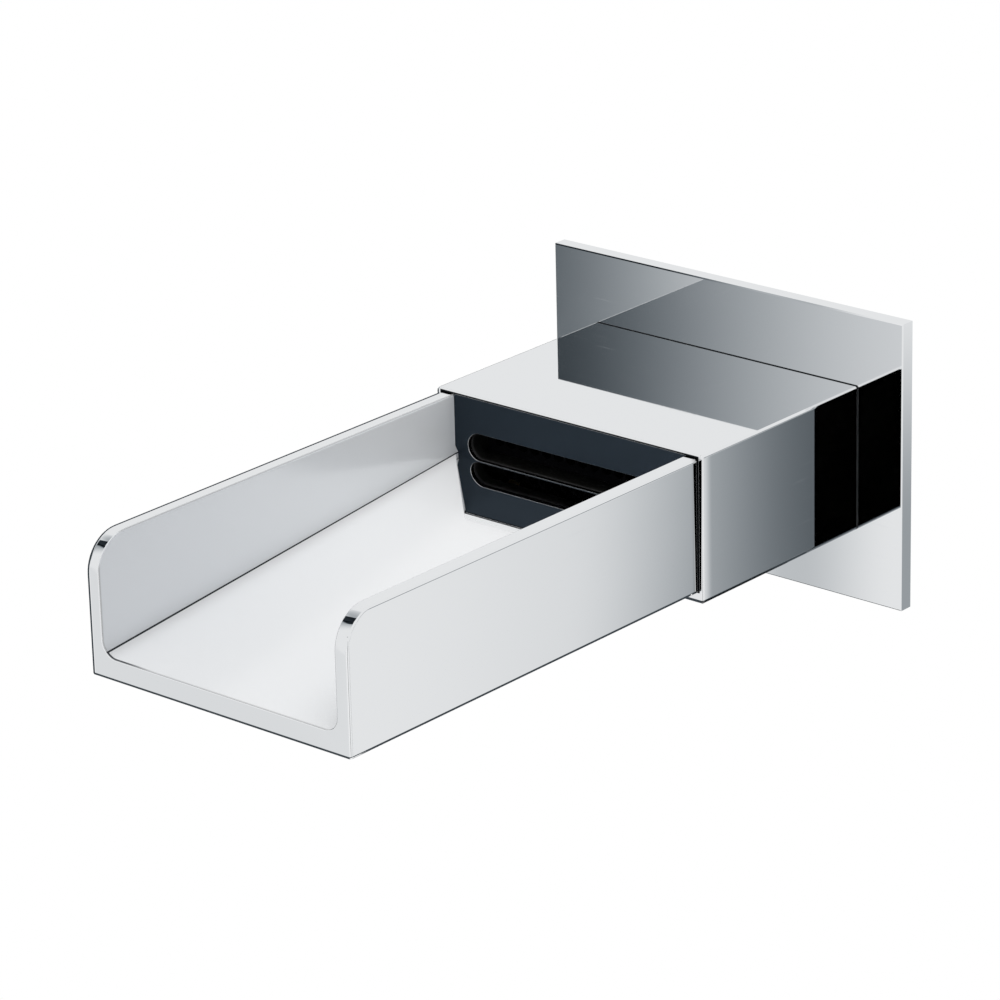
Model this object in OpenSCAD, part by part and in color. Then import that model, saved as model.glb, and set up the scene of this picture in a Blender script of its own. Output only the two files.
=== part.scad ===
// Wall mounted basin spout: an open trough held in a rectangular collar, with a
// water box, a slotted outlet plate and a slip-on inlet nipple behind it.
// Millimetres. The wall is the plane y = 0 and the spout reaches out along -Y.
// The origin is on the inlet's axis, where it meets the wall. +Z is up.

/* [Wall plate] */
// Width of the wall plate
plate_w = 110; // [100:1:150]
// Height of the wall plate
plate_h = 75; // [60:1:110]
// Thickness of the wall plate
plate_t = 4; // [3.6:0.1:6]
// Thickness of the plate's face over the hollow that holds the wall seal
plate_skin = 2; // [1.4:0.1:2.6]
// Width of the rim round that hollow
plate_rim = 3; // [2:0.5:4]
// Edge break on the plate's front
plate_edge = 0.3; // [0.1:0.1:0.8]

/* [Collar] */
// Width of the collar
collar_w = 83; // [78:1:94]
// Height of the collar
collar_h = 37.8; // [36:0.2:44]
// Length of the collar, from the wall plate to its open front
collar_l = 62; // [58:1:80]
// Thickness of the collar's two sides
collar_side_t = 1.2; // [0.8:0.1:2]
// Thickness of the collar's roof
collar_roof_t = 0.75; // [0.5:0.05:1.5]
// Thickness of the collar's floor
collar_floor_t = 2.6; // [1.5:0.1:3]
// Thickness of the collar's back wall
collar_back_t = 2; // [1.5:0.1:3]
// Edge break on the collar's outer edges
collar_edge = 0.4; // [0.1:0.1:0.6]

/* [Trough] */
// Reach of the trough's tip from the wall
reach = 190; // [150:1:240]
// Thickness of the trough's side walls
trough_wall = 3.7; // [2.5:0.1:4.5]
// Thickness of the floor at the tip
lip_t = 5.4; // [4.6:0.1:8]
// Radius of the side walls' top front corners
tip_r = 9.4; // [3:0.2:18]
// Radius between the floor and the side walls
floor_r = 4; // [1:0.5:6]
// Length of the trough inside the collar
trough_grip = 24; // [22:1:28]
// Thickness of the floor over the hollow beneath it
floor_skin = 3; // [2:0.1:3.4]
// Distance from the tip to the start of that hollow
hollow_start = 16; // [12:1:40]
// Width of the step round the hollow that the base plate lies on
base_step = 2.5; // [1.5:0.5:5]
// Thickness of the base plate
base_t = 1.2; // [0.8:0.1:1.6]

/* [Outlet] */
// Width of the outlet slot
slot_w = 64.2; // [40:0.2:64.4]
// Height of the outlet slot
slot_h = 7.1; // [4:0.1:7.4]
// Distance from the collar's top to the slot's upper edge
slot_drop = 9.8; // [9.4:0.1:13]
// Height of the slot's lower edge over the trough's floor
slot_sill = 0.2; // [0.1:0.1:1]
// Thickness of the slotted plate
slot_plate_t = 1.2; // [0.8:0.1:2]
// Set-back of the slotted plate from the collar's front edge
slot_plate_inset = 0.2; // [0.1:0.1:1]
// Thickness of the seal behind the slotted plate
slot_seal_t = 0.8; // [0.5:0.1:1.5]
// Number of studs on the back of the slotted plate
stud_count = 3; // [2:1:4]
// Distance of the outer studs from the slot's ends
stud_inset = 8; // [4:0.5:14]
// Radius of a stud
stud_r = 1.25; // [1:0.05:1.5]
// Thickness of the washers on the studs
stud_washer_t = 0.5; // [0.3:0.1:0.8]
// Thickness of the nuts on the studs
stud_nut_t = 2; // [1.6:0.1:2.4]
// Width of the nuts across their flats
stud_nut_af = 5; // [4:0.5:5.5]
// Length of stud that stands out of its nut
stud_past = 0.6; // [0.4:0.1:1]

/* [Water box] */
// Thickness of the water box's side walls
box_wall = 4.2; // [4.1:0.1:4.6]
// Thickness of the water box's front wall
box_front_t = 2.5; // [2:0.1:3.5]
// Thickness of the water box's bottom and of its step
box_bottom_t = 3; // [2:0.1:4]
// Thickness of the water box's back wall
box_back_t = 3; // [2:0.1:4]
// Thickness of the floor of the water box's nose
box_sill_t = 2.3; // [2:0.1:3]
// Thickness of the cover
cover_t = 2; // [1.6:0.1:2.4]
// Thickness of the seal under the cover
cover_seal_t = 0.8; // [0.5:0.1:1.2]
// Thickness of the wall round and behind a screw's hole in the chamber
boss_wall = 2.4; // [1.6:0.1:2.6]
// Width of the land round the flange on which the water box meets the plate
hub_land = 2; // [1.5:0.1:2.2]
// Thickness of the rib that breaks the jet from the inlet
baffle_t = 2; // [1.5:0.1:3]
// Width of that rib
baffle_w = 30; // [16:1:40]
// Distance from the inlet socket's mouth to that rib
baffle_gap = 4; // [3:0.5:6]

/* [Flow straightener] */
// Length of the flow straightener along the flow
straightener_l = 6; // [4:0.5:7]
// Width of one of its six-sided cells across the flats
cell_af = 3; // [2.5:0.1:4]
// Thickness of the web between two cells
cell_web = 0.8; // [0.6:0.1:1.5]

/* [Inlet] */
// Outer radius of the nipple's pipe thread
thread_r = 10.48; // [8.2:0.01:13.2]
// Length of the pipe thread
thread_l = 13; // [10:0.5:25]
// Depth of the relief between the thread and the flange
relief_depth = 0.9; // [0.5:0.1:1.5]
// Radius of the nipple's flange
flange_r = 14; // [12:0.1:15]
// Thickness of the washer between the flange and the wall fitting
washer_t = 1.5; // [1:0.1:1.8]
// Radius of the nipple's spigot
spigot_r = 8.9; // [7.5:0.1:9.2]
// Length of the spigot beyond the flange
spigot_l = 20; // [18:0.5:22]
// Radius of the water way through the nipple
way_r = 4.2; // [3:0.1:4.4]
// Width of the hexagon for the mounting key, across its flats
key_af = 10; // [9:0.5:12]
// Depth of that hexagon
key_depth = 6; // [4:0.5:7]
// Width of the lead-in at the ends of the spigot, the thread and the socket
lead_in = 0.8; // [0.4:0.1:1]
// Thickness of the spigot's seal rings
ring_d = 2.4; // [1.8:0.1:2.6]
// Distance from the flange to the middle of the first seal ring
ring_start = 5; // [4:0.5:6]
// Distance between the two seal rings
ring_pitch = 5; // [4:0.5:5]
// Distance from the spigot's end to the middle of its locking groove
lock_from_end = 4.5; // [3.5:0.5:5]
// Depth of the locking groove
lock_depth = 1.2; // [0.8:0.1:1.6]
// Distance from the spigot's end to the inner mouth of its socket
mouth_gap = 1; // [0.5:0.1:2]
// Thickness of the wall round the inlet socket
socket_wall = 3.5; // [2.5:0.5:4.5]
// Radius of the locking screw
lock_r = 2.5; // [2:0.1:3]
// Length of the locking screw
lock_l = 7; // [6:0.5:7.5]
// Width of the hexagon in the locking screw, across its flats
lock_key_af = 2.5; // [2:0.5:3]
// Depth of that hexagon
lock_key_depth = 3; // [2:0.5:4]

/* [Inlet inserts] */
// Radius of the pocket in the nipple's inlet end
insert_r = 7.4; // [6:0.1:7.6]
// Length of the flow restrictor
restrictor_l = 7; // [5:0.5:8]
// Radius of the bore in the flow restrictor
restrictor_bore_r = 3.3; // [2.8:0.1:4]
// Thickness of its pierced end
restrictor_end_t = 2.1; // [1.5:0.1:3]
// Number of the jets through that end
jet_count = 6; // [4:1:8]
// Radius of a jet
jet_r = 0.7; // [0.5:0.05:0.8]
// Distance of the jets from the middle
jet_ring_r = 2; // [1.9:0.1:2.4]
// Thickness of the restrictor's seal ring
restrictor_ring_d = 1.4; // [1:0.1:1.6]
// Thickness of the strainer
strainer_t = 1.5; // [1:0.1:2.5]
// Radius of the strainer's holes
strainer_hole_r = 0.7; // [0.5:0.05:0.9]
// Thickness of the web between two of those holes
strainer_web = 0.4; // [0.3:0.1:0.8]

/* [Screws] */
// Radius of the screws that hold the wall plate
plate_screw_r = 2; // [1.5:0.1:2.2]
// Distance of those screws from the middle, sideways
plate_screw_x = 27; // [22:1:30]
// Distance of those screws from the middle, up and down
plate_screw_z = 8; // [6:0.5:8]
// Depth of those screws in the water box
plate_screw_grip = 7; // [5:0.5:9]
// Radius of the screws that hold the trough
trough_screw_r = 1.5; // [1.2:0.1:1.6]
// Distance of those screws from the ends of the water box's nose
trough_screw_end = 6.5; // [5:0.5:7.5]
// Thickness left in the water box's wall behind those screws
trough_screw_skin = 0.6; // [0.4:0.1:1]
// Radius of the screws that hold the cover
cover_screw_r = 1; // [0.8:0.05:1.1]
// Length of the screws that hold the cover
cover_screw_l = 8; // [6:0.5:9]
// Distance of the cover's screws from the ends of their walls
cover_screw_end = 4; // [3:0.5:6]

/* [Clearances] */
// Gap between the collar and what slides into it
slide_gap = 0.1; // [0.05:0.05:0.2]
// Gap round a seal, a plate or an insert in its recess
seat_gap = 0.1; // [0.05:0.05:0.2]
// Gap between a screw and the hole it is driven into
thread_gap = 0.05; // [0.03:0.01:0.1]
// Gap between a screw's tip and the end of its hole
tip_gap = 0.5; // [0.2:0.1:1]
// Gap between a screw and the hole it passes through
pass_gap = 0.25; // [0.1:0.05:0.4]

/* [Hidden] */
$fn = 64;
// How far a cut runs past the face that it opens
past = 1;
// A countersunk head's radius and depth, and the width and depth of the hexagon in it,
// as shares of its screw's radius
head_wide = 1.9;
head_deep = 0.9;
socket_wide = 1.3;
socket_deep = 0.6;
// A seal ring's groove, as a share of the ring's thickness
groove_wide = 1.25;

// Heights
collar_top = collar_h / 2;
collar_bottom = -collar_h / 2;
trough_top = collar_top - collar_roof_t - slide_gap;
trough_bottom = collar_bottom + collar_floor_t + slide_gap;
slot_top = collar_top - slot_drop;
slot_bottom = slot_top - slot_h;
slot_z = slot_bottom + slot_h / 2;
floor_top = slot_bottom - slot_sill;
floor_tip = trough_bottom + lip_t;
floor_rise = floor_top - floor_tip;
ledge = slot_bottom - box_sill_t;
box_top = trough_top - cover_t - cover_seal_t;
stud_z = (slot_top + box_top) / 2;
trough_screw_z = slot_bottom + trough_screw_r * head_wide;

// Half widths
collar_half = collar_w / 2;
trough_half = collar_half - collar_side_t - slide_gap;
channel_half = trough_half - trough_wall;
nose_half = channel_half - seat_gap;
nose_in = nose_half - box_wall;
rear_in = trough_half - box_wall;

// Distances along Y
plate_front = -plate_t;
collar_front = plate_front - collar_l;
panel = collar_front + slot_plate_inset;
tip = -reach;
trough_rear = collar_front + trough_grip;
hollow_front = tip + hollow_start;
hollow_rear = trough_rear - base_step - floor_skin;
box_front = panel + slot_plate_t + slot_seal_t;
box_rear = plate_front - collar_back_t;
slope = atan(floor_rise / (panel - tip));
box_in_front = box_front + box_front_t;
step_in = trough_rear + box_bottom_t;
box_in_rear = box_rear - box_back_t;
nut_end = box_in_front + stud_washer_t + stud_nut_t;
stud_end = nut_end + stud_past;
straightener_front = stud_end + seat_gap;

// The inlet
flange_face = -washer_t;
relief_r = thread_r - relief_depth;
flange_back = plate_front + seat_gap;
spigot_end = flange_back - spigot_l;
socket_r = spigot_r + seat_gap;
boss_r = socket_r + socket_wall;
socket_mouth = spigot_end - mouth_gap;
ring_mid_r = socket_r - ring_d / 2 - seat_gap / 2;
ring_y = [flange_back - ring_start, flange_back - ring_start - ring_pitch];
lock_y = spigot_end + lock_from_end;
lock_floor_r = spigot_r - lock_depth;
insert_floor = thread_l - strainer_t - restrictor_l;
hub_r = flange_r + hub_land;

// Screws
head_r = function(r) r * head_wide;
cover_screw_x = [nose_half - box_wall / 2, trough_half - box_wall / 2];
cover_screw_y = [[box_front + cover_screw_end, trough_rear - cover_screw_end],
    [trough_rear + cover_screw_end, box_rear - cover_screw_end]];
trough_screw_y = [box_front + trough_screw_end, trough_rear - trough_screw_end];
trough_screw_grip = box_wall - trough_screw_skin;
plate_hole_end = box_rear - plate_screw_grip - tip_gap;

// A block between its lowest and its highest corner
module block(lo, hi) {
    translate(lo) cube(hi - lo);
}

// A block as wide on both sides of the middle
module mid_block(half, y0, y1, z0, z1) {
    block([-half, y0, z0], [half, y1, z1]);
}

// A round bar along Y
module bar_y(r, y0, y1) {
    translate([0, y0, 0]) rotate([-90, 0, 0]) cylinder(r = r, h = y1 - y0);
}

// A shape turned about the inlet's axis, from its section's corners as [radius, y]
module turned_y(section) {
    rotate([-90, 0, 0]) rotate_extrude() polygon(section);
}

// A ring turned about the inlet's axis, with an oblong section
module ring_y(r0, r1, y0, y1) {
    difference() {
        bar_y(r1, y0, y1);
        bar_y(r0, y0 - past, y1 + past);
    }
}

// A round seal ring about the inlet's axis
module seal_ring(mid_r, d, y) {
    translate([0, y, 0]) rotate([90, 0, 0]) rotate_extrude() translate([mid_r, 0]) circle(d = d);
}

// A six-sided bar along Z
module hex_z(af, h) {
    cylinder(d = af / cos(30), h = h, $fn = 6);
}

// A six-sided bar along Y, its flats facing up and down
module hex_y(af, y0, y1) {
    translate([0, y0, 0]) rotate([-90, 0, 0]) hex_z(af, y1 - y0);
}

// A countersunk screw, its head's flat face at the origin and its point along -Z
module csk_screw(r, l) {
    difference() {
        rotate_extrude() polygon([[0, -l], [r, -l], [r, -head_deep * r], [head_r(r), 0], [0, 0]]);
        translate([0, 0, -socket_deep * r]) hex_z(socket_wide * r, socket_deep * r + past);
    }
}

// The hole for such a screw: its seat and the way through
module csk_hole(r, l) {
    way = r + pass_gap;
    wide = head_r(r) + seat_gap;
    seat = (wide - way) * head_deep * r / (head_r(r) - r);
    rotate_extrude() polygon([[0, -l], [way, -l], [way, -seat_gap - seat], [wide, -seat_gap],
        [wide, past], [0, past]]);
}

// Copies at the four places of the wall plate's screws
module at_plate_screws() {
    for (x = [-plate_screw_x, plate_screw_x], z = [-plate_screw_z, plate_screw_z])
        translate([x, 0, z]) children();
}

// Copies at the cover's screws, in the side walls of the nose and of the rear
module at_cover_screws() {
    for (i = [0, 1], y = cover_screw_y[i], s = [-1, 1])
        translate([s * cover_screw_x[i], y, 0]) children();
}

// Copies at the trough's screws, pointing inwards from both sides
module at_trough_screws() {
    for (y = trough_screw_y, s = [-1, 1])
        translate([s * trough_half, y, trough_screw_z]) rotate([0, s * 90, 0]) children();
}

// Copies at the slotted plate's studs
module at_studs() {
    span = slot_w - 2 * stud_inset;
    for (i = [0 : stud_count - 1])
        translate([span * (i / (stud_count - 1) - 0.5), 0, stud_z]) children();
}

// The water box's outline from above: a nose between the trough's walls, and a wide rear
module box_outline(nose, rear, front, back) {
    translate([-nose, front]) square([2 * nose, trough_rear - front + past]);
    translate([-rear, trough_rear]) square([2 * rear, back - trough_rear]);
}

// The chamber's outline from above
module chamber_outline() {
    translate([-nose_in, box_in_front]) square([2 * nose_in, step_in - box_in_front + past]);
    translate([-rear_in, step_in]) square([2 * rear_in, box_in_rear - step_in]);
}

// The wall plate's section across one of its sides, its two front edges broken
module plate_section(half) {
    polygon([[-half, 0], [-half, plate_front + plate_edge], [plate_edge - half, plate_front],
        [half - plate_edge, plate_front], [half, plate_front + plate_edge], [half, 0]]);
}

module wall_plate() {
    color("gainsboro") difference() {
        // the face, its front edges broken
        intersection() {
            translate([0, 0, -plate_h / 2]) linear_extrude(plate_h) plate_section(plate_w / 2);
            translate([-plate_w / 2, 0, 0]) rotate([90, 0, 90]) linear_extrude(plate_w)
                rotate(-90) mirror([1, 0]) plate_section(plate_h / 2);
        }
        // the hollow at the back, round a solid pad behind the collar
        difference() {
            block([plate_rim - plate_w / 2, plate_front + plate_skin, plate_rim - plate_h / 2],
                [plate_w / 2 - plate_rim, past, plate_h / 2 - plate_rim]);
            mid_block(collar_half, plate_front, past, collar_bottom, collar_top);
        }
        bar_y(flange_r + pass_gap, plate_front - past, past);
        at_plate_screws() rotate([-90, 0, 0]) csk_hole(plate_screw_r, plate_t + past);
    }
}

module wall_seal() {
    half_w = plate_w / 2 - plate_rim - seat_gap;
    half_h = plate_h / 2 - plate_rim - seat_gap;
    color("dimgray") difference() {
        mid_block(half_w, plate_front + plate_skin, 0, -half_h, half_h);
        mid_block(collar_half + seat_gap, plate_front, past,
            collar_bottom - seat_gap, collar_top + seat_gap);
    }
}

// The collar's outer form, its edges broken all round and at the front
module collar_form() {
    e = collar_edge;
    section = [[-collar_half, collar_bottom + e], [e - collar_half, collar_bottom],
        [collar_half - e, collar_bottom], [collar_half, collar_bottom + e],
        [collar_half, collar_top - e], [collar_half - e, collar_top],
        [e - collar_half, collar_top], [-collar_half, collar_top - e]];
    intersection() {
        translate([0, plate_front, 0]) rotate([90, 0, 0]) linear_extrude(collar_l) polygon(section);
        translate([-collar_half, 0, 0]) rotate([90, 0, 90]) linear_extrude(collar_w) polygon([
            [plate_front, collar_bottom], [plate_front, collar_top], [collar_front + e, collar_top],
            [collar_front, collar_top - e], [collar_front, collar_bottom + e],
            [collar_front + e, collar_bottom]]);
    }
}

module collar() {
    color("gainsboro") difference() {
        collar_form();
        block([collar_side_t - collar_half, collar_front - past, collar_bottom + collar_floor_t],
            [collar_half - collar_side_t, box_rear, collar_top - collar_roof_t]);
        bar_y(hub_r + pass_gap, box_rear - seat_gap, plate_front + past);
        at_plate_screws() bar_y(plate_screw_r + pass_gap, box_rear - past, plate_front + past);
        translate([0, lock_y, collar_bottom - past])
            cylinder(r = lock_r + pass_gap, h = collar_floor_t + 2 * past);
    }
}

// The trough's side view: a block whose top front corner is rounded
module trough_side() {
    difference() {
        translate([tip, trough_bottom]) square([trough_rear - tip, trough_top - trough_bottom]);
        difference() {
            translate([tip - past, trough_top - tip_r]) square(tip_r + past);
            translate([tip + tip_r, trough_top - tip_r]) circle(r = tip_r);
        }
    }
}

// The channel's section, with its rounded lower corners, standing on z = 0
module channel_section() {
    tall = collar_h + floor_rise;
    difference() {
        translate([-channel_half, 0]) square([2 * channel_half, tall]);
        for (side = [0, 1]) mirror([side, 0]) translate([channel_half - floor_r, 0]) difference() {
            square(floor_r);
            translate([0, floor_r]) circle(r = floor_r);
        }
    }
}

// The channel as far as the slotted plate, on a floor that falls towards the tip
module channel() {
    // the sloping prism runs out past the tip and past the plate, and is then cut there
    run_out = collar_h;
    long = panel - tip + 2 * run_out;
    intersection() {
        translate([0, tip, floor_tip]) rotate([slope, 0, 0]) translate([0, long - run_out, 0])
            rotate([90, 0, 0]) linear_extrude(long) channel_section();
        mid_block(trough_half, tip - past, panel, floor_tip - past, trough_top + past);
    }
}

// The hollow under the floor, as high as the floor's thickness allows
module floor_hollow() {
    rise = tan(slope);
    roof_at = function(y) floor_tip + (y - tip) * rise - floor_skin;
    flat_roof = ledge - floor_skin;
    turn = min(panel, tip + (flat_roof + floor_skin - floor_tip) / rise);
    half = channel_half - base_step;
    translate([-half, 0, 0]) rotate([90, 0, 90]) linear_extrude(2 * half) polygon([
        [hollow_front, trough_bottom], [hollow_rear, trough_bottom], [hollow_rear, flat_roof],
        [turn, flat_roof], [hollow_front, roof_at(hollow_front)]]);
}

// The base plate's place, a step wider than the hollow on every side
module base_block(gap, below) {
    mid_block(channel_half - gap, hollow_front - base_step + gap, hollow_rear + base_step - gap,
        trough_bottom - below, trough_bottom + base_t);
}

module trough() {
    color("gainsboro") difference() {
        translate([-trough_half, 0, 0]) rotate([90, 0, 90]) linear_extrude(2 * trough_half) trough_side();
        channel();
        mid_block(channel_half, panel, trough_rear + past, ledge, trough_top + past);
        floor_hollow();
        base_block(0, past);
        at_trough_screws() csk_hole(trough_screw_r, trough_wall + past);
    }
}

module trough_base() {
    color("silver") base_block(seat_gap, 0);
}

// A long hole with round ends, along X
module slot_hole(w, h, y0, y1) {
    for (s = [-1, 1]) translate([s * (w - h) / 2, 0, slot_z]) bar_y(h / 2, y0, y1);
    translate([0, 0, slot_z]) mid_block((w - h) / 2, y0, y1, -h / 2, h / 2);
}

module slot_plate() {
    color("darkslategray") union() {
        difference() {
            mid_block(nose_half, panel, panel + slot_plate_t, ledge, trough_top);
            slot_hole(slot_w, slot_h, panel - past, panel + slot_plate_t + past);
        }
        at_studs() bar_y(stud_r, panel + slot_plate_t / 2, stud_end);
    }
}

module slot_seal() {
    front = panel + slot_plate_t;
    color("black") difference() {
        mid_block(nose_half, front, box_front, ledge, box_top);
        slot_hole(slot_w, slot_h, front - past, box_front + past);
        at_studs() bar_y(stud_r + seat_gap, front - past, box_front + past);
    }
}

module stud_washers() {
    color("saddlebrown") at_studs()
        ring_y(stud_r + seat_gap, stud_nut_af / 2, box_in_front, box_in_front + stud_washer_t);
}

module stud_nuts() {
    color("goldenrod") at_studs() difference() {
        hex_y(stud_nut_af, nut_end - stud_nut_t, nut_end);
        bar_y(stud_r + thread_gap, nut_end - stud_nut_t - past, nut_end + past);
    }
}

// What stands in the chamber: the inlet socket, the locking screw's post, the screw
// bosses on the back wall and the rib that breaks the jet
module chamber_fittings() {
    bar_y(boss_r, socket_mouth, box_in_rear + past);
    translate([0, lock_y, trough_bottom]) cylinder(r = lock_r + boss_wall, h = -trough_bottom);
    at_plate_screws() bar_y(plate_screw_r + boss_wall, plate_hole_end - boss_wall, box_in_rear + past);
    mid_block(baffle_w / 2, socket_mouth - baffle_gap - baffle_t, socket_mouth - baffle_gap,
        trough_bottom, socket_r);
}

// The hub that passes the collar's back wall and bears on the plate. Where it starts,
// inside the box, it is no taller than the box.
module hub() {
    intersection() {
        bar_y(hub_r, box_in_rear, plate_front);
        union() {
            mid_block(hub_r + past, box_in_rear - past, plate_front + past, trough_bottom, box_top);
            mid_block(hub_r + past, box_rear, plate_front + past, -hub_r - past, hub_r + past);
        }
    }
}

module water_box() {
    color("peru") difference() {
        union() {
            mid_block(nose_half, box_front, trough_rear + past, ledge, box_top);
            mid_block(trough_half, trough_rear, box_rear, trough_bottom, box_top);
            hub();
        }
        difference() {
            union() {
                mid_block(nose_in, box_in_front, step_in + past, slot_bottom, box_top + past);
                mid_block(rear_in, step_in, box_in_rear, trough_bottom + box_bottom_t, box_top + past);
            }
            chamber_fittings();
        }
        slot_hole(slot_w, slot_h, box_front - past, box_in_front + past);
        at_studs() bar_y(stud_r + seat_gap, box_front - past, box_in_front + past);
        bar_y(socket_r, socket_mouth - past, plate_front + past);
        turned_y([[0, plate_front - lead_in], [socket_r, plate_front - lead_in],
            [socket_r + lead_in, plate_front], [socket_r + lead_in, plate_front + past],
            [0, plate_front + past]]);
        translate([0, lock_y, trough_bottom - past])
            cylinder(r = lock_r + thread_gap, h = past - trough_bottom);
        at_plate_screws() bar_y(plate_screw_r + thread_gap, plate_hole_end, box_rear + past);
        at_cover_screws() translate([0, 0, trough_top - cover_screw_l - tip_gap])
            cylinder(r = cover_screw_r + thread_gap, h = cover_screw_l + past);
        at_trough_screws() translate([0, 0, -trough_wall - seat_gap - trough_screw_grip])
            cylinder(r = trough_screw_r + thread_gap, h = trough_screw_grip + past);
    }
}

module cover_seal() {
    color("black") difference() {
        translate([0, 0, box_top]) linear_extrude(cover_seal_t) difference() {
            box_outline(nose_half, trough_half, box_front, box_rear);
            chamber_outline();
        }
        at_cover_screws() translate([0, 0, box_top - past])
            cylinder(r = cover_screw_r + pass_gap, h = cover_seal_t + 2 * past);
    }
}

module box_cover() {
    color("peru") difference() {
        translate([0, 0, trough_top - cover_t]) linear_extrude(cover_t)
            box_outline(nose_half, trough_half, box_front, box_rear);
        at_cover_screws() translate([0, 0, trough_top]) csk_hole(cover_screw_r, cover_t + past);
    }
}

module cover_screws() {
    color("silver") at_cover_screws() translate([0, 0, trough_top - seat_gap])
        csk_screw(cover_screw_r, cover_screw_l - seat_gap);
}

module flow_straightener() {
    half = nose_in - seat_gap;
    rear = straightener_front + straightener_l;
    tall = box_top - slot_bottom;
    pitch = cell_af + cell_web;
    row_pitch = pitch * sin(60);
    rows = floor((tall - pitch) / row_pitch) + 1;
    color("dimgray") difference() {
        mid_block(half, straightener_front, rear, slot_bottom, box_top);
        for (j = [0 : rows - 1]) {
            shift = j % 2 == 0 ? 0 : pitch / 2;
            count = floor((2 * half - cell_web - 2 * shift) / pitch);
            z = slot_bottom + tall / 2 + (j - (rows - 1) / 2) * row_pitch;
            for (i = [0 : count - 1])
                translate([(i - (count - 1) / 2) * pitch, 0, z]) rotate([0, 30, 0])
                    hex_y(cell_af, straightener_front - past, rear + past);
        }
    }
}

module trough_screws() {
    color("silver") at_trough_screws() translate([0, 0, -seat_gap])
        csk_screw(trough_screw_r, trough_wall + trough_screw_grip - tip_gap);
}

module plate_screws() {
    color("silver") at_plate_screws() translate([0, -seat_gap, 0]) rotate([-90, 0, 0])
        csk_screw(plate_screw_r, -box_rear + plate_screw_grip - seat_gap);
}

module inlet_nipple() {
    groove_r = ring_mid_r - ring_d / 2 - seat_gap / 2;
    groove_w = ring_d * groove_wide;
    color("darkgoldenrod") difference() {
        turned_y([[0, spigot_end], [spigot_r - lead_in, spigot_end], [spigot_r, spigot_end + lead_in],
            [spigot_r, flange_back], [flange_r, flange_back], [flange_r, flange_face],
            [relief_r, flange_face], [relief_r, 0], [thread_r, 0], [thread_r, thread_l - lead_in],
            [thread_r - lead_in, thread_l], [0, thread_l]]);
        for (y = ring_y) ring_y(groove_r, spigot_r + past, y - groove_w / 2, y + groove_w / 2);
        ring_y(lock_floor_r, spigot_r + past, lock_y - lock_r - thread_gap, lock_y + lock_r + thread_gap);
        bar_y(way_r, spigot_end - past, thread_l + past);
        hex_y(key_af, spigot_end - past, spigot_end + key_depth);
        bar_y(insert_r, insert_floor, thread_l + past);
    }
}

module rear_seal_ring() {
    color("black") seal_ring(ring_mid_r, ring_d, ring_y[0]);
}

module front_seal_ring() {
    color("black") seal_ring(ring_mid_r, ring_d, ring_y[1]);
}

module inlet_washer() {
    color("saddlebrown") ring_y(thread_r + seat_gap, flange_r - seat_gap, flange_face, 0);
}

module locking_screw() {
    top = -lock_floor_r - thread_gap;
    color("silver") translate([0, lock_y, top - lock_l]) difference() {
        cylinder(r = lock_r, h = lock_l);
        translate([0, 0, -past]) hex_z(lock_key_af, lock_key_depth + past);
    }
}

module flow_restrictor() {
    rear = insert_floor + restrictor_l;
    ring = insert_floor + restrictor_l / 2;
    groove_w = restrictor_ring_d * groove_wide;
    body_r = insert_r - seat_gap;
    color("royalblue") difference() {
        bar_y(body_r, insert_floor, rear);
        ring_y(body_r - restrictor_ring_d, insert_r + past, ring - groove_w / 2, ring + groove_w / 2);
        bar_y(restrictor_bore_r, insert_floor + restrictor_end_t, rear + past);
        for (i = [1 : jet_count]) rotate([0, i * 360 / jet_count, 0]) translate([jet_ring_r, 0, 0])
            bar_y(jet_r, insert_floor - past, rear);
    }
}

module restrictor_ring() {
    mid_r = insert_r - (seat_gap + restrictor_ring_d) / 2;
    color("black") seal_ring(mid_r, restrictor_ring_d, insert_floor + restrictor_l / 2);
}

module inlet_strainer() {
    hole_pitch = 2 * strainer_hole_r + strainer_web;
    body_r = insert_r - seat_gap;
    // the holes' middles stay inside this radius, which leaves the disc its rim
    field_r = body_r - 2 * strainer_hole_r;
    reach_n = floor(field_r / hole_pitch);
    color("silver") difference() {
        bar_y(body_r, thread_l - strainer_t, thread_l);
        for (i = [-reach_n : reach_n], j = [-reach_n : reach_n])
            if (norm([i, j]) * hole_pitch < field_r)
                translate([i * hole_pitch, 0, j * hole_pitch])
                    bar_y(strainer_hole_r, thread_l - strainer_t - past, thread_l + past);
    }
}

wall_plate();
wall_seal();
collar();
trough();
trough_base();
slot_plate();
slot_seal();
stud_washers();
stud_nuts();
water_box();
cover_seal();
box_cover();
cover_screws();
flow_straightener();
trough_screws();
plate_screws();
inlet_nipple();
rear_seal_ring();
front_seal_ring();
inlet_washer();
locking_screw();
flow_restrictor();
restrictor_ring();
inlet_strainer();
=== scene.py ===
# %% [markdown]
# # A wall mounted basin spout in polished chrome
# The object is an open trough held in a rectangular collar on a wall plate. Its shape is plain, so
# its looks come from three things: mirror-bright metal, edges that are broken by a few tenths of a
# millimetre, and a studio that gives the mirrors something to show.
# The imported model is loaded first. It fixes every size, and nothing below moves or resizes it.
# Sizes of the object are read from it or written in millimetres, and MM turns them into metres.

# %% Loading the frame
import math
from collections import namedtuple

import bmesh
import bpy
from mathutils import Matrix, Vector


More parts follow.
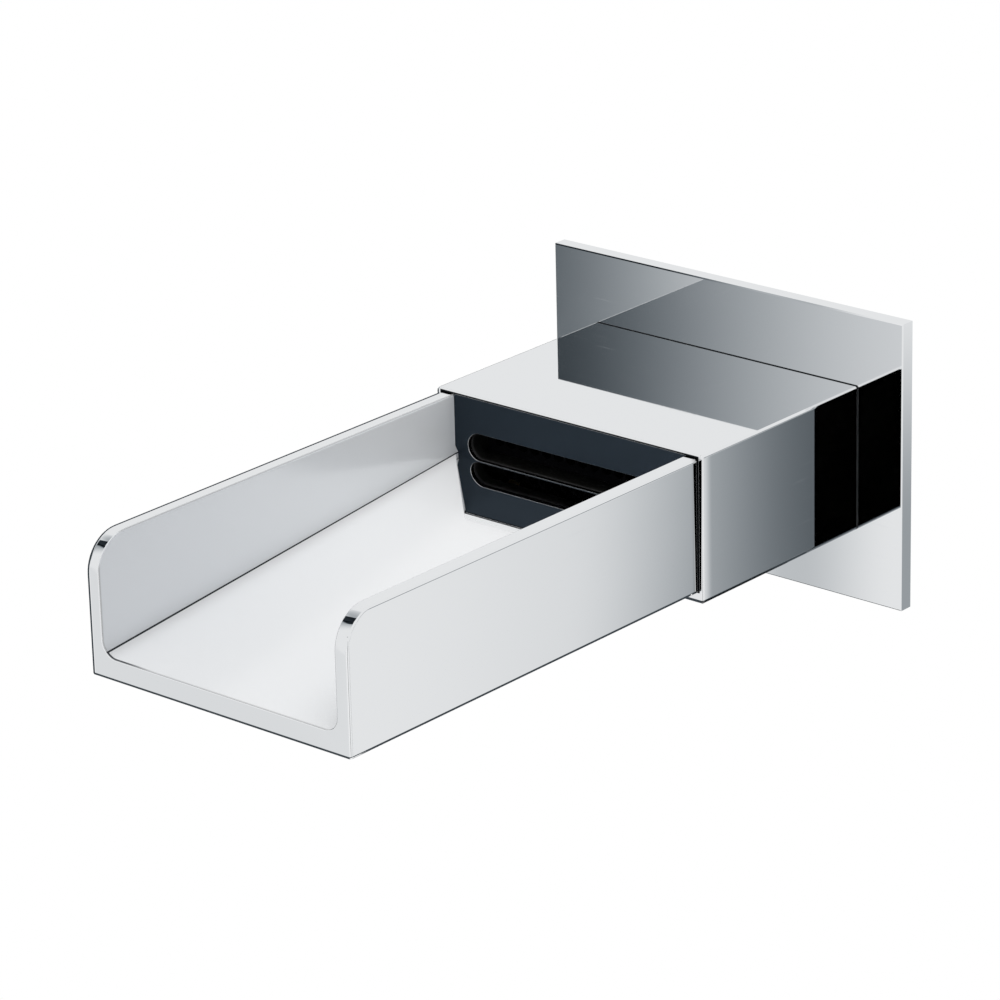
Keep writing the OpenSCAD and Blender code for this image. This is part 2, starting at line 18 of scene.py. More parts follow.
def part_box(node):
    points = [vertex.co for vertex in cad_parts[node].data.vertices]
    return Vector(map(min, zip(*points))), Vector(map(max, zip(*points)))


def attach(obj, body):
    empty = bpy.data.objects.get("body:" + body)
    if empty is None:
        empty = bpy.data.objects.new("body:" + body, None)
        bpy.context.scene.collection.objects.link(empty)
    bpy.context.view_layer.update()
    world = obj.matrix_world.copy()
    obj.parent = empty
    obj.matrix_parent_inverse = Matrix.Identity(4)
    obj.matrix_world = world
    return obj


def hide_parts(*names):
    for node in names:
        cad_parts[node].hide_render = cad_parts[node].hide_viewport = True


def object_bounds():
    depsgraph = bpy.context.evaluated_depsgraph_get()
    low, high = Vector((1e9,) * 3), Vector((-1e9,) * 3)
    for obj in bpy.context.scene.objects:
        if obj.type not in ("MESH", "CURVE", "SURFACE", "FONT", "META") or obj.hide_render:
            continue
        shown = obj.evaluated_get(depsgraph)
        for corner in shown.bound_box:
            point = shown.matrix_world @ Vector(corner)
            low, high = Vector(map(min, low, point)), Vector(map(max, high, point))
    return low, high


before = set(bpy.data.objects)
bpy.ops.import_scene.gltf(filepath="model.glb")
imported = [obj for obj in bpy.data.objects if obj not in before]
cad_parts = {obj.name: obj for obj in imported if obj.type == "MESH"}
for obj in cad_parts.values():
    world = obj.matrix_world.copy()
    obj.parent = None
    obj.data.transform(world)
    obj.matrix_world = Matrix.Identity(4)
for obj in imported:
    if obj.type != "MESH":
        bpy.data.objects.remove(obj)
cad_low, cad_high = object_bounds()
MM = 0.001
Corner = namedtuple("Corner", "x y z")


def box_mm(node):
    """A node's lowest and highest corners in millimetres, to the micrometre."""
    return [Corner(*(round(value / MM, 3) for value in corner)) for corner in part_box(node)]


PLATE_FACE = box_mm("wall_plate")[0].y
COLLAR_LOW, COLLAR_HIGH = box_mm("collar")
TROUGH_LOW, TROUGH_HIGH = box_mm("trough")
SLOT_FACE = box_mm("slot_plate")[0].y
scene = bpy.context.scene
scene.view_settings.view_transform = "Standard"
print("nodes:", len(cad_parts), "box in mm:", [round(v / MM, 1) for v in cad_high - cad_low])
print("collar from", tuple(COLLAR_LOW), "to", tuple(COLLAR_HIGH))
print("trough from", tuple(TROUGH_LOW), "to", tuple(TROUGH_HIGH))


# %% [markdown]
# ## The camera
# A long lens far away keeps the spout's edges nearly parallel, as in a catalogue picture. The camera
# is placed by what it looks at, how far it has gone round and up, and how far it stands off, because
# these are the four things that a photographer sets. The slight roll is the tripod's own.

# %% Camera
LOOK_AT = Vector((-0.03251, -0.0538, -0.01277))
AROUND = math.radians(40.95)
ABOVE = math.radians(20.8)
ROLL = math.radians(-1.43)
STAND_OFF = 1.1789
LENS_MM = 169.64
SENSOR_MM = 36
NEAREST = 0.05

camera = bpy.data.objects.new("camera", bpy.data.cameras.new("camera"))
scene.collection.objects.link(camera)
camera.data.lens = LENS_MM
camera.data.sensor_width = SENSOR_MM
camera.data.clip_start = NEAREST
turn = Matrix.Rotation(AROUND, 4, "Z") @ Matrix.Rotation(math.pi / 2 - ABOVE, 4, "X")
away = turn.to_3x3() @ Vector((0, 0, STAND_OFF))
camera.matrix_world = Matrix.Translation(LOOK_AT + away) @ turn @ Matrix.Rotation(ROLL, 4, "Z")
scene.camera = camera
print("camera at", [round(v, 3) for v in camera.matrix_world.translation])


# %% [markdown]
# ## Shader maths in Python
# Materials and studio light are both node trees. Drawn by hand they soon turn into knots, so here a
# small class wraps one output socket: sums and products written in Python add the Math nodes, and
# one method adds every other kind of node, its settings first and its sockets after them.

# %% A socket that can be calculated with
class Wire:
    """One output socket of a node tree, or just the tree when there is no socket yet."""

    def __init__(self, tree, socket=None):
        self.tree = tree
        self.socket = socket

    def feed(self, port, value):
        """Links a wire to an input socket, or writes a plain value into it."""
        if isinstance(value, Wire):
            self.tree.links.new(value.socket, port)
        else:
            port.default_value = value

    def node(self, kind, settings=None, sockets=None, output=0):
        """Adds a node and returns one of its outputs, by name or by number."""
        made = self.tree.nodes.new("ShaderNode" + kind)
        for name, value in (settings or {}).items():
            setattr(made, name, value)
        for name, value in (sockets or {}).items():
            self.feed(made.inputs[name], value)
        return Wire(self.tree, made.outputs[output] if made.outputs else None)

    def math(self, operation, *values):
        return self.node("Math", {"operation": operation}, dict(enumerate(values)))

    def __add__(self, other):
        return self.math("ADD", self, other)

    def __sub__(self, other):
        return self.math("SUBTRACT", self, other)

    def __rsub__(self, other):
        return self.math("SUBTRACT", other, self)

    def __mul__(self, other):
        return self.math("MULTIPLY", self, other)

    __radd__ = __add__
    __rmul__ = __mul__

    def rise(self, start, end):
        """0 before start, 1 after end, and smooth between them. Start may lie above end."""
        return self.node("MapRange", {"interpolation_type": "SMOOTHSTEP"},
                         {"Value": self, "From Min": start, "From Max": end})

    def between(self, start, end, soft):
        """1 between start and end, fading out over soft on both sides."""
        return self.rise(start - soft, start) * self.rise(end + soft, end)

    def mix(self, first, second, kind="Color"):
        """first where this is 0, second where it is 1: two colours, or two vectors."""
        made = self.tree.nodes.new("ShaderNodeMix")
        made.data_type = {"Color": "RGBA", "Vector": "VECTOR"}[kind]
        ports = {port.identifier: port for port in [*made.inputs, *made.outputs]}
        self.feed(ports["Factor_Float"], self)
        self.feed(ports["A_" + kind], first)
        self.feed(ports["B_" + kind], second)
        return Wire(self.tree, ports["Result_" + kind])


def grey(level):
    return (level, level, level, 1)


print("shader maths ready")


# %% [markdown]
# ## The studio
# Chrome has no colour of its own: what it shows is the room. This studio is a white tent with a few
# dark flags standing in it, one for each dark reflection that gives the metal its form. Flags could
# be real boards, but a world shader that darkens certain directions needs no geometry, throws no
# unwanted shadows and looks the same however far away a mirror sends its ray.
# Azimuth is counted in degrees from +Y, which points into the wall, towards +X. Elevation is counted
# from the horizon. A flag says which span of each it covers, how soft its edges are, and how much of
# the light it takes. Each was placed by working out where the metal shown dark in the photo looks.

# %% Flags
world = bpy.data.worlds.new("studio")
world.use_nodes = True
world.node_tree.nodes.clear()
scene.world = world
sky = Wire(world.node_tree)
direction = sky.node("TexCoord", output="Generated")
across, inward, upward = (
    sky.node("SeparateXYZ", sockets={"Vector": direction}, output=axis) for axis in "XYZ")
azimuth = sky.math("ARCTAN2", across, inward) * math.degrees(1)
elevation = sky.math("ARCSINE", upward) * math.degrees(1)


def window(azimuths, elevations, az_soft, el_soft):
    """1 inside the spans. A softness is one angle, or one for each end of the span."""
    az_soft = az_soft if isinstance(az_soft, tuple) else (az_soft, az_soft)
    el_soft = el_soft if isinstance(el_soft, tuple) else (el_soft, el_soft)
    west = azimuth.rise(azimuths[0] - az_soft[0], azimuths[0])
    east = azimuth.rise(azimuths[1] + az_soft[1], azimuths[1])
    below = elevation.rise(elevations[0] - el_soft[0], elevations[0])
    above = elevation.rise(elevations[1] + el_soft[1], elevations[1])
    return west * east * below * above


FLAGS = [
    # low at the back right: shades the right-hand sides towards the wall
    (window((36.5, 36.6), (-27, -14), (0.4, 3.6), 4), 0.84),
    (window((36.5, 38), (-27, -14), (0.4, 5), 4), 0.16),
    # its foot: shades the lower end of the plate's right edge
    (window((20, 36.2), (-27, -21.2), (6, 0.3), (4, 3.2)), 0.58),
    # behind at the right: the fine dark edge of the plate's image in the collar
    (window((51.5, 54.5), (-27, -14), 1.5, 4), 1.0),
    # front right: black in the images that plate and collar make of each other
    (window((141, 149), (-46, 4), (1, 3), 6), 1.0),
    # front left, low: the plate's upper left corner, and the wall plate's foot
    (window((-139.1, -139.7), (-19.3, -17.4), (4.8, 0.35), (1, 1)), 0.88),
    (window((-142.9, -142.7), (-26, -21), (1.3, 0.5), (2, 1.5)), 0.34),
    # front left, high: the plate's image of the collar, and the collar's of the plate
    (window((-139.5, -139.7), (18.1, 20.2), (5.5, 0.35), (0.7, 0.7)), 0.93),
    (window((-144, -139.7), (18.1, 20.2), (2, 0.35), (0.7, 0.7)), 0.12),
    # front left, lower still: a breath of grey on the upright of the trough's front
    (window((-136, -133), (-30, -12), (3, 3), 4), 0.1),
    # overhead at the left: the dark band in the rounded front corners
    (window((-117.5, -103), (38, 54), (1.2, 1.6), 3), 0.97),
    (window((-122, -117), (42, 45.5), (1.5, 1), (3, 1.5)), 0.97),
    (window((-119, -98), (50, 62), (0.8, 40), (5, 6)), 0.5),
    (window((-119, -100), (26, 42), (15, 20), (6, 2)), 0.55),
    # strip lamps, which take less than no light: white lines along the edges
    (window((-129, -120), (-24, -10), 2.5, 3), -0.2),
    (window((162, 178), (-26, -14), 4, 4), -0.2),
    (window((-60, -25), (14.5, 16.5), 4, 1), -0.2),
    (window((-123.5, -120.8), (45, 50), 1, 1), -0.2),
    # the far horizon: a fine dark line along edges that turn away
    (window((-112, -10), (-30, 13), (12, 8), (4, 4)), 0.93),
    (window((40, 58), (-9, 8), 3, 4), 0.7),
    # the dark below the table's rim: the same for edges that turn down
    (window((-179, 179), (-56, -30), 1, (3, 4)), 0.93),
]
print("flags and strip lamps:", len(FLAGS))


# %% [markdown]
# ## From flags to light
# Each flag takes its share of the light that the ones before it have left, so two that overlap make
# a deeper shade and never a negative one. What is in shade is a little bluer, as under a white tent
# by day. Only reflections show the flags. The camera sees plain white behind the object, and what is
# matt is lit by an even grey all round, because on it the flags would only make blotches.

# %% Studio world
TENT = 0.85
RED_POWER = 1.07
BLUE_POWER = 0.95
LIGHT_ALL_ROUND = 0.62

left_over = 1.0
for cover, strength in FLAGS:
    left_over = (1 - cover * strength) * left_over
brightness = left_over * TENT
tinted = sky.node("CombineColor", sockets={
    "Red": sky.math("POWER", brightness, RED_POWER), "Green": brightness,
    "Blue": sky.math("POWER", brightness, BLUE_POWER)})
mirrored = sky.node("LightPath", output="Is Glossy Ray")
direct = sky.node("LightPath", output="Is Camera Ray")
seen = direct.mix(mirrored.mix(grey(LIGHT_ALL_ROUND), tinted), grey(1.0))
backdrop = sky.node("Background", sockets={"Color": seen, "Strength": 1.0})
sky.node("OutputWorld", sockets={"Surface": backdrop})
print("world nodes:", len(world.node_tree.nodes))


# %% [markdown]
# ## The floor
# The spout hangs on a wall, so nothing stands on the floor. It is a round pale table some way below,
# small enough that the mirrors look past it, and it keeps what little shadow reaches it. To the
# camera and the mirrors most of it glows, so that it is as white as the tent round it.

# %% Floor
FLOOR_RADIUS = 0.2
FLOOR_DROP = 0.3
FLOOR_SIDES = 96
FLOOR_PAINT = 0.9
FLOOR_GLOW = 0.9
MIDDLE = Vector((0, -0.09, 0))

floor_height = cad_low.z - FLOOR_DROP
shape = bmesh.new()
bmesh.ops.create_circle(shape, cap_ends=True, segments=FLOOR_SIDES, radius=FLOOR_RADIUS)
bmesh.ops.translate(shape, verts=shape.verts, vec=(0, MIDDLE.y, floor_height))
floor_mesh = bpy.data.meshes.new("floor")
shape.to_mesh(floor_mesh)
shape.free()
floor = bpy.data.objects.new("floor", floor_mesh)
scene.collection.objects.link(floor)

paint = bpy.data.materials.new("pale_floor")
paint.use_nodes = True
paint.node_tree.nodes.clear()
board = Wire(paint.node_tree)
lit = board.node("BsdfDiffuse", sockets={"Color": grey(FLOOR_PAINT)})
glow = board.node("Emission", sockets={"Color": grey(1.0), "Strength": 1.0})
is_camera, is_glossy, is_through = (
    board.node("LightPath", output=ray)
    for ray in ("Is Camera Ray", "Is Glossy Ray", "Is Transmission Ray"))
seen_directly = board.math("MINIMUM", is_camera + is_glossy + is_through, 1.0)
surface = board.node("MixShader", sockets={0: seen_directly * FLOOR_GLOW, 1: lit, 2: glow})
board.node("OutputMaterial", sockets={"Surface": surface})
floor.data.materials.append(paint)
print("floor at z =", round(floor_height, 3))


# %% [markdown]
# ## The lamp
# Chrome, steel and brass are lit by what they reflect, but the satin inside of the trough, the
# rubber, the fibre and the foam need real light. One large soft lamp overhead does for all of them,
# together with the even grey all round. Reflections don't show the lamp, because the tent hides it.

# %% Lamp
SOFTBOX_WIDTH = 1.2
SOFTBOX_WATTS = 9.5
SOFTBOX_PLACE = Vector((0.25, -0.35, 1.1))

softbox = bpy.data.lights.new("softbox", "AREA")
softbox.shape = "DISK"
softbox.size = SOFTBOX_WIDTH
softbox.energy = SOFTBOX_WATTS
lamp = bpy.data.objects.new("softbox", softbox)
scene.collection.objects.link(lamp)
lamp.location = SOFTBOX_PLACE
lamp.rotation_euler = (MIDDLE - SOFTBOX_PLACE).to_track_quat("-Z", "Y").to_euler()
lamp.visible_glossy = False
print("lamp at", [round(v, 2) for v in lamp.location])


# %% [markdown]
# ## Materials
# All of them are procedural and read Object coordinates, so their grain is measured in metres and
# keeps its size on every piece, and a mark can be put at a place in millimetres. Small helpers start
# a material, say where a point of it lies, add noise and end it in a shader.

# %% Helpers for materials
def new_material(name):
    """An empty material and a wire into its node tree."""
    made = bpy.data.materials.new(name)
    made.use_nodes = True
    made.node_tree.nodes.clear()
    return made, Wire(made.node_tree)


def coordinates(wire):
    """Where a point of the surface lies: as a vector in metres, and as x, y and z in millimetres."""
    place = wire.node("TexCoord", output="Object")
    parts = [wire.node("SeparateXYZ", sockets={"Vector": place}, output=axis) for axis in "XYZ"]
    return place, *(part * (1 / MM) for part in parts)


def noise(wire, place, scale, detail=3.0, stretch=None):
    """Fractal noise of so many waves per metre, drawn out along the axes with a small stretch."""
    if stretch:
        place = wire.node("Mapping", sockets={"Vector": place, "Scale": stretch})
    return wire.node("TexNoise", sockets={"Vector": place, "Scale": scale, "Detail": detail})


def shaded(wire, sockets):
    """Ends a material in a Principled shader with these sockets."""
    shader = wire.node("BsdfPrincipled", sockets=sockets)
    wire.node("OutputMaterial", sockets={"Surface": shader})


print("material helpers ready")


# %% [markdown]
# ## Chrome
# Bright chrome is a true mirror with faults that are only just visible: a haze of polishing marks
# that makes its gloss uneven, a few hairline scratches along the way the buffing wheel ran, and a
# very slight unevenness of the metal below, which bends long straight reflections. Three noises of
# very different sizes give these three faults. The wall plate needs nothing else.

# %% Polished chrome and the wall plate
CHROME = (0.9, 0.905, 0.912, 1)
MIRROR_ROUGHNESS = 0.015
HAZE_ROUGHNESS = 0.014
HAIR_ROUGHNESS = 0.03
HAIR_RELIEF = 0.012
BUFFED_ACROSS = (0.04, 1, 1)
BUFFED_ALONG = (1, 0.04, 1)


def polished(wire, place, buffed):
    """The roughness and the relief of polished chrome, buffed along the axis with a small stretch."""
    haze = noise(wire, place, 45.0).rise(0.42, 0.72)
    hairs = noise(wire, place, 1400.0, stretch=buffed)
    roughness = MIRROR_ROUGHNESS + haze * HAZE_ROUGHNESS + hairs.rise(0.6, 0.8) * HAIR_ROUGHNESS
    relief = noise(wire, place, 26.0, detail=0.0) + hairs * HAIR_RELIEF
    return roughness, relief


def uneven(wire, relief, normal=None):
    """The normal of polished metal, bent by its relief."""
    sockets = {"Strength": 0.35, "Distance": 0.00003, "Height": relief}
    if normal:
        sockets["Normal"] = normal
    return wire.node("Bump", sockets=sockets)


def plate_chrome_made():
    """Plain polished chrome."""
    made, wire = new_material("chrome_plate_bright")
    place, *_ = coordinates(wire)
    roughness, relief = polished(wire, place, BUFFED_ACROSS)
    shaded(wire, {"Base Color": CHROME, "Metallic": 1.0, "Roughness": roughness,
                  "Normal": uneven(wire, relief)})
    return made


plate_chrome = plate_chrome_made()
print("chrome of the wall plate ready")


# %% [markdown]
# ## Edges that the buffing wheel has rolled over
# A buffing wheel takes more metal off an edge than off the face behind it, so the last millimetre
# before the edge already leans outwards. In a mirror that millimetre shows another part of the room:
# it draws the fine dark line that follows the outline of the trough and the collar. Real geometry
# would need very narrow, exactly curved strips. Leaning the shading normal gives the same line, and
# its width can be set for each edge.

# %% Leaning normals
ROLL_FAR = 0.9
ROLL_NEAR = 0.4
ROLL_LEAN = 0.6
UNDER_FADE = 0.4
FRONT_WIDE_REACH = 4


def facing(wire):
    """The surface's own normal."""
    return wire.node("NewGeometry", output="Normal")


def rolled_over(wire, x, y, z, low, high, left_far=1.1, under_near=ROLL_NEAR, front_wide=0.0,
                top_span=(1, 0)):
    """The normal of a block that leans outwards next to its left side, front, top and underside.

    low and high are the block's corners. The lean starts left_far from the left side, and is full
    under_near above the underside. front_wide is a slight lean over more of the front, and top_span
    says where along y the top begins to lean.
    """
    left = x.rise(low.x + left_far, low.x + ROLL_NEAR)
    ahead = y.rise(low.y + ROLL_FAR, low.y + ROLL_NEAR)
    ahead = ahead + y.rise(low.y + FRONT_WIDE_REACH, low.y) * front_wide
    above = z.rise(high.z - ROLL_FAR, high.z - ROLL_NEAR) * y.rise(*top_span)
    below = z.rise(low.z + under_near + UNDER_FADE, low.z + under_near)
    outwards = wire.node("CombineXYZ", sockets={"X": 0 - left, "Y": 0 - ahead, "Z": above - below})
    lean = wire.node("VectorMath", {"operation": "SCALE"}, {0: outwards, "Scale": ROLL_LEAN})
    leaning = wire.node("VectorMath", {"operation": "ADD"}, {0: facing(wire), 1: lean})
    return wire.node("VectorMath", {"operation": "NORMALIZE"}, {0: leaning})


print("leaning normals ready")


# %% [markdown]
# ## The collar
# The collar is polished like the plate, but shade is painted dark where it meets its neighbours: in
# the seam at the plate, in the slit that the trough slides into and on the lip above the opening,
# and under the lower edge of its right-hand side. All are masks on places in millimetres. They could
# be pieces of dark geometry, but painted shade needs no thickness.

# %% Chrome of the collar
# painted shade: near black, where the collar meets its neighbours and where the trough goes into it
PAINTED_SHADE_BLACK = (0.012, 0.014, 0.016, 1)
OPENING_HALF = 40.5
OPENING_FADE = (41, 40.8)
OPENING_TOP = 18.3
LIP_TOP = 18.52
WALL_INSIDE = 36.5
SEAM_WIDTH = 0.22
SEAM_WIDER_ON_TOP = 0.26
UNDER_SPAN = (-34, -44)
UNDER_SHADE_STRENGTH = 0.9
ALMOST_UP = (-0.032, 0.036, 0.999)


def collar_painted_shade(wire, x, y, z):
    """1 where shade is painted over the metal: in the seam, in the slit and inside it, and on the lip.
    """
    front = COLLAR_LOW.y
    off_middle = wire.math("ABSOLUTE", x)
    # on the level faces, the top and the underside, the seam is drawn wider, as the photo shows it
    level = wire.math("ABSOLUTE", wire.node("SeparateXYZ", sockets={"Vector": facing(wire)}, output="Z"))
    # painted shade: a dark line along the seam at the plate
    seam_start = PLATE_FACE - SEAM_WIDTH
    painted_shade = (y + level * SEAM_WIDER_ON_TOP).rise(seam_start - 0.06, seam_start)
    # painted shade in the slit round the trough, on the opening's inner faces and on the lip above it
    at_front = off_middle.rise(OPENING_HALF + 0.12, OPENING_HALF) * y.rise(front + 0.1, front + 0.04)
    beside_trough = z.between(TROUGH_LOW.z, OPENING_TOP, 0.08)
    slit = beside_trough * at_front * off_middle.rise(WALL_INSIDE - 0.5, WALL_INSIDE - 0.3)
    lip = z.between(OPENING_TOP - 0.1, LIP_TOP, 0.05) * at_front
    inner_faces = beside_trough * off_middle.rise(*OPENING_FADE) * y.rise(front + 0.02, front + 0.1)
    for mask in (slit, lip, inner_faces):
        painted_shade = wire.math("MAXIMUM", painted_shade, mask)
    return painted_shade


def collar_chrome_made():
    """Chrome with painted shade at its joins and lower edge, and a bright chamfer over the opening."""
    made, wire = new_material("chrome_collar_bright")
    place, x, y, z = coordinates(wire)
    off_middle = wire.math("ABSOLUTE", x)
    roughness, relief = polished(wire, place, BUFFED_ALONG)
    rolled = rolled_over(wire, x, y, z, COLLAR_LOW, COLLAR_HIGH, left_far=0.55, under_near=0.6,
                         front_wide=0.022, top_span=(-20, -24))
    # the chamfer over the opening faces nearly up, so that it is as bright as the top behind it
    chamfer = y.rise(COLLAR_LOW.y + 0.5, COLLAR_LOW.y + 0.4) * z.rise(LIP_TOP - 0.07, LIP_TOP)
    chamfer = chamfer * off_middle.rise(*OPENING_FADE)
    normal = chamfer.mix(rolled, ALMOST_UP, "Vector")
    # painted shade: the lower edge of the right-hand side is painted dark, darker towards the trough
    right_side = x.rise(COLLAR_HIGH.x - 0.6, COLLAR_HIGH.x - 0.4)
    under = z.rise(COLLAR_LOW.z + 0.85, COLLAR_LOW.z + 0.7) * right_side * y.rise(*UNDER_SPAN)
    painted_shade = collar_painted_shade(wire, x, y, z)
    shaded(wire, {
        "Base Color": painted_shade.mix((under * UNDER_SHADE_STRENGTH).mix(CHROME, PAINTED_SHADE_BLACK), PAINTED_SHADE_BLACK),
        "Metallic": 1 - painted_shade, "Roughness": roughness + painted_shade * 0.5, "Specular IOR Level": 0.0,
        "Normal": uneven(wire, relief, normal)})
    return made


collar_chrome = collar_chrome_made()
print("chrome of the collar ready")


# %% [markdown]
# ## The trough
# Outside, the trough is polished like the collar. Inside it is satin, pale and nearly without
# reflections, but for a patch of floor in front of the slotted plate that mirrors it. One material
# holds both finishes, because they meet in the middle of the rim, and masks tell them apart: how far
# a point lies from the middle, and how high it is above the sloping floor. Where floor and walls
# meet, the shading normal changes at once, which makes the soft fillet read as the dark crease that
# the photo shows.

# %% Chrome of the trough
TIP = TROUGH_LOW.y
DEPTH_SPAN = (TIP, -70)
FLOOR_AT_TIP = -10.8
FLOOR_RISE = 0.1014
FILLET = 4
CREASE_HEIGHT = 1.17
# painted shade: for the crease between floor and walls, and for the front's left foot
CREASE_PAINTED_SHADE = (0.01, 0.014, 0.018, 1)
FOOT_PAINTED_SHADE = (0.02, 0.025, 0.03, 1)
PATCH_HALF = 36.4
PATCH_NARROWS = 0.977
PATCH_SPAN = (-93, -91)
SATIN_STREAKS = (1, 0.03, 1)
# painted light: satin tones at the front and by the slotted plate, walls darker than the floor in front
FLOOR_SATIN_PAINTED_LIGHT = ((0.75, 0.759, 0.77, 1), (0.81, 0.815, 0.822, 1))
WALL_SATIN_PAINTED_LIGHT = ((0.675, 0.697, 0.725, 1), (0.82, 0.84, 0.86, 1))


def channel_normal(wire, x, y, z, inside, height, on_wall):
    """Rolled edges outside. Inside, the floor's normal or the wall's, with nothing between them."""
    rolled = rolled_over(wire, x, y, z, TROUGH_LOW, TROUGH_HIGH)
    inwards = wire.node("CombineXYZ", sockets={"X": 0 - wire.math("SIGN", x)})
    creased = on_wall.mix((0, -FLOOR_RISE, 1), inwards, "Vector")
    near_floor = inside * height.rise(FILLET + 1, FILLET + 0.6)
    return wire.node("VectorMath", {"operation": "NORMALIZE"}, {
        0: near_floor.mix(rolled, creased, "Vector")})


def channel_marks(wire, x, y, z, inside, height, depth):
    """Painted shade: dark lines and patches, each a mask and a colour, in the order they lie on each
    other.
    """
    off_middle = wire.math("ABSOLUTE", x)
    front = COLLAR_LOW.y
    outside = off_middle.rise(TROUGH_HIGH.x - 0.6, TROUGH_HIGH.x - 0.5)
    rim = inside * y.rise(TIP + 0.8, TIP + 0.4)
    rim = rim + inside * z.rise(TROUGH_HIGH.z - 0.55, TROUGH_HIGH.z - 0.25)
    foot = off_middle.rise(20, 30) * height.rise(1.4, 1) * x.rise(0, -1)
    on_rim = z.rise(TROUGH_HIGH.z - 0.15, TROUGH_HIGH.z - 0.05)
    on_rim = on_rim * off_middle.rise(WALL_INSIDE - 0.1, WALL_INSIDE)
    half_width = 0.12 - depth * 0.06
    crease = wire.math("ABSOLUTE", height - CREASE_HEIGHT).rise(half_width + 0.08, half_width)
    return [
        # painted shade: a grey line where the inside meets the front and the top of the walls
        (rim * 0.5, grey(0.3)),
        # painted shade: the left foot of the front is painted darkest
        (inside * foot * y.rise(TIP + 0.9, TIP + 0.6), FOOT_PAINTED_SHADE),
        # painted shade next to the collar's slit, and near black where the sides and the rim go into it
        (y.rise(front - 2.6, front) * outside, grey(0.42)),
        (y.rise(front - 0.1, front + 0.05) * outside, PAINTED_SHADE_BLACK),
        (y.rise(front - 1, front - 0.5) * on_rim, PAINTED_SHADE_BLACK),
        # painted shade: a dark line where floor and walls meet half-way round their fillet, finer with
        # depth
        (crease * off_middle.rise(34.6, 35) * inside, CREASE_PAINTED_SHADE),
    ]


def trough_chrome_made():
    """Chrome outside, satin inside but for the floor by the slotted plate, with painted light and shade.
    """
    made, wire = new_material("chrome_trough_bright")
    place, x, y, z = coordinates(wire)
    off_middle = wire.math("ABSOLUTE", x)
    height = z - FLOOR_AT_TIP - (y - TIP) * FLOOR_RISE
    depth = y.rise(*DEPTH_SPAN)
    inside = off_middle.rise(WALL_INSIDE + 0.25, WALL_INSIDE) * height.rise(-0.9, -0.6)
    inside = inside * y.rise(TIP + 0.1, TIP + 0.35)
    on_wall = (height - CREASE_HEIGHT).rise(-0.03, 0.03)
    # the mirror-bright part of the floor narrows away from the slotted plate
    patch_edge = PATCH_HALF - (SLOT_FACE - y) * PATCH_NARROWS
    patch = (patch_edge - off_middle).rise(-0.15, 0.35) * y.rise(*PATCH_SPAN)
    satin = inside * (1 - patch * (1 - on_wall))
    streaks = noise(wire, place, 500.0, stretch=SATIN_STREAKS) - 0.5
    # painted light: the satin is painted lighter towards the slotted plate, the walls darker at the
    # front
    colour = satin.mix(CHROME, on_wall.mix(depth.mix(*FLOOR_SATIN_PAINTED_LIGHT), depth.mix(*WALL_SATIN_PAINTED_LIGHT)))
    for mask, shade in channel_marks(wire, x, y, z, inside, height, depth):
        colour = mask.mix(colour, shade)
    roughness, relief = polished(wire, place, BUFFED_ALONG)
    shaded(wire, {
        "Base Color": colour, "Metallic": 1 - satin * 0.85,
        "Roughness": roughness + satin * (streaks * 0.1 + 0.16),
        "Normal": uneven(wire, relief, channel_normal(wire, x, y, z, inside, height, on_wall))})
    return made


trough_chrome = trough_chrome_made()
print("chrome of the trough ready")


# %% [markdown]
# ## The slotted plate
# The plate that the water leaves by is a flat, dark blue-grey. Painted metal would look duller, so
# this is chrome of a dark colour with a satin grain across it. The slot is cut through the finish,
# so its edge, a few hundredths of a millimetre behind the face, is bright metal.

# %% Dark chrome of the slotted plate
DARK_CHROME = (0.03, 0.041, 0.054, 1)
GRAIN_ACROSS = (0.03, 1, 1)


def slot_chrome_made():
    """Dark satin chrome, with bright metal behind its face."""
    made, wire = new_material("slot_plate_dark")
    place, _, y, _ = coordinates(wire)
    grain = noise(wire, place, 900.0, stretch=GRAIN_ACROSS)
    cut = y.rise(SLOT_FACE + 0.01, SLOT_FACE + 0.08)
    shaded(wire, {"Base Color": cut.mix(DARK_CHROME, CHROME), "Metallic": 1.0,
                  "Roughness": 0.3 + grain * 0.1 - cut * 0.2})
    return made


slot_chrome = slot_chrome_made()
print("dark chrome ready")


# %% [markdown]
# ## Finishing the chrome pieces
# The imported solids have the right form, but machined and polished metal has no perfectly sharp edge,
# and in a mirror it is the broken edge that draws the outline. So each visible piece is a merged
# copy of its solid, and its outer edges are bevelled by a few tenths of a millimetre.
# A mirror also shows every fault of the shading normals. The mean of a corner's faces, weighted by
# their area, keeps the large faces flat right up to a narrow bevel, which turns smoothly from one
# to the other. Faces that meet at more than a limiting angle stay apart.

# %% Shading and handing over
def even_normals(mesh, limit):
    """Shades each corner with its faces' mean, by area, so that large faces stay flat to their rim."""
    around = [[] for vertex in mesh.vertices]
    for face in mesh.polygons:
        for index in face.vertices:
            around[index].append(face)
    normals = []
    for face in mesh.polygons:
        for index in face.vertices:
            near = [other for other in around[index] if face.normal.angle(other.normal, 0) < limit]
            normals.append(sum((other.normal * other.area for other in near), Vector()).normalized())
    mesh.normals_split_custom_set(normals)


def stand_in(work, name, limit, material, node):
    """Makes the shape in a bmesh the piece that is seen in place of a CAD node."""
    for face in work.faces:
        face.smooth = True
    mesh = bpy.data.meshes.new(name)
    work.to_mesh(mesh)
    work.free()
    even_normals(mesh, limit)
    mesh.materials.append(material)
    piece = bpy.data.objects.new(name, mesh)
    scene.collection.objects.link(piece)
    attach(piece, "root")
    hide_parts(node)
    print(name, "faces:", len(mesh.polygons))


print("shading ready")


# %% [markdown]
# ## Which edges are rounded
# A rule picks the edges of each piece by the place of their middle. Picking them by hand would be
# quicker in the editor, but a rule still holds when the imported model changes. A rounded corner of
# the solid is already made of small flat steps, so only edges sharper than a step are asked about.

